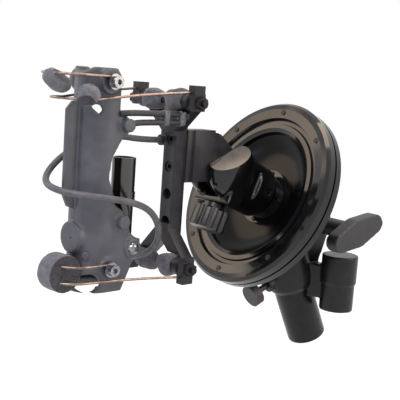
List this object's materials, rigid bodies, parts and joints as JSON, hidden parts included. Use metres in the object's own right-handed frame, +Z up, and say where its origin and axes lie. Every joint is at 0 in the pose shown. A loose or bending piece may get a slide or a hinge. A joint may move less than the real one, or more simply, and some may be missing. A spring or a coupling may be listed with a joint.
{
  "type": "microphone shock mount",
  "caption": "Microphone cradle hung on spring-wire hairpins from a forked bar bracket, with a tilting arm, a round dish plate and a pole clamp.",
  "frame": {"origin": "centre of the pole socket's mouth", "axes": "+Z up along the microphone, +Y from the cradle towards the dish and clamp, +X towards the side with the screw heads seen in the picture; the tube leans 26 degrees and the dish and clamp are turned 8 degrees about +Z"},
  "size_m": [0.1764, 0.3288, 0.2535],
  "materials": {
    "tube_black": "matte black anodised tube",
    "casting_black": "satin black powder-coated casting",
    "gloss_black": "polished black moulding",
    "knob_black": "matte black moulded knob",
    "bracket_black": "satin black anodised bracket",
    "cradle_grey": "fine-textured slate grey moulding",
    "wire_steel": "bare spring wire with a warm tint",
    "bright_screw": "bright plated screws",
    "dark_screw": "black oxide screws",
    "foam_grey": "open-cell grey foam",
    "gasket_rubber": "black rubber ring",
    "cable_grey": "satin grey cable jacket",
    "connector_black": "gloss black plated connector",
    "brass": "brass",
    "strap_black": "black elastic strap"
  },
  "bodies": {
    "pole_clamp": {"pole_tube": "tube_black", "pole_stop": "gasket_rubber", "clamp_casting": "casting_black", "thread_bush": "brass", "pivot_bolt": "dark_screw", "pivot_nut": "dark_screw", "friction_discs": "knob_black"},
    "thumb_screw": {"thumb_screw": "knob_black"},
    "wing_knob": {"wing_knob": "knob_black"},
    "dish_head": {"front_ring": "gloss_black", "rim_screws": "dark_screw", "ring_gasket": "gasket_rubber", "rear_ring": "gloss_black", "dish_cup": "gloss_black", "hub_flange": "gloss_black", "hub_screws": "dark_screw", "tilt_lug": "casting_black", "lug_screws": "dark_screw"},
    "swivel": {"swivel_stem": "bracket_black", "swivel_housing": "gloss_black", "set_screw": "dark_screw", "tilt_pin": "dark_screw"},
    "lock_knob": {"lock_stud": "dark_screw", "lock_knob": "knob_black"},
    "bracket": {"arm_block": "bracket_black", "spacer_plate": "bracket_black", "wire_bracket": "bracket_black", "bracket_screws": "dark_screw", "rod_nuts": "dark_screw", "strap_anchor": "bracket_black", "strap_slider": "strap_black", "safety_strap": "strap_black", "cable_gland": "bracket_black", "mic_cable": "cable_grey", "upper_outer_wire": "wire_steel", "lower_outer_wire": "wire_steel", "upper_cross_rod": "dark_screw", "lower_cross_rod": "dark_screw", "upper_foam_pads": "foam_grey", "lower_foam_pads": "foam_grey", "upper_wire_clamps": "bracket_black", "lower_wire_clamps": "bracket_black"},
    "cradle": {"cradle_shell": "cradle_grey", "upper_cap_screws": "bright_screw", "lower_cap_screws": "bright_screw", "wire_washers": "bright_screw", "button_screws": "bright_screw", "upper_inner_wire": "wire_steel", "lower_inner_wire": "wire_steel", "upper_foam_roll": "foam_grey", "lower_foam_roll": "foam_grey", "side_foam_roll": "foam_grey", "connector_shell": "connector_black", "connector_insert": "knob_black", "connector_contacts": "brass", "lock_ring": "connector_black", "rear_shell": "connector_black", "connector_boot": "gasket_rubber", "connector_saddle": "cradle_grey"}
  },
  "joints": [
    {"name": "clamp_tilt", "type": "hinge", "parent": "pole_clamp", "child": "dish_head", "pos_m": [-0.002, -0.01421, 0.11383], "axis": [0.9903, -0.1392, 0], "range_deg": [-20, 12]},
    {"name": "wing_turn", "type": "hinge", "parent": "pole_clamp", "child": "wing_knob", "pos_m": [-0.002, -0.01421, 0.11383], "axis": [0.9903, -0.1392, 0], "continuous": true},
    {"name": "thumb_turn", "type": "hinge", "parent": "pole_clamp", "child": "thumb_screw", "pos_m": [-0.00445, -0.03169, 0.06561], "axis": [-0.1251, -0.89, -0.4384], "continuous": true},
    {"name": "hub_pan", "type": "hinge", "parent": "dish_head", "child": "swivel", "pos_m": [-0.01204, -0.08568, 0.14596], "axis": [-0.1271, -0.9047, 0.4067], "range_deg": [-120, 120]},
    {"name": "lock_turn", "type": "hinge", "parent": "swivel", "child": "lock_knob", "pos_m": [-0.01624, -0.11553, 0.15938], "axis": [0, -0.4067, -0.9135], "continuous": true},
    {"name": "arm_tilt", "type": "hinge", "parent": "swivel", "child": "bracket", "pos_m": [-0.01624, -0.11553, 0.15938], "axis": [1, 0, 0], "range_deg": [-40, 15]},
    {"name": "cradle_float", "type": "slide", "parent": "bracket", "child": "cradle", "axis": [0, 0, 1], "range_m": [-0.005, 0.005], "stiffness_N_per_m": 700, "springref_m": 0.0027, "deforming": ["upper_outer_wire", "lower_outer_wire", "safety_strap", "strap_slider", "mic_cable"]}
  ]
}
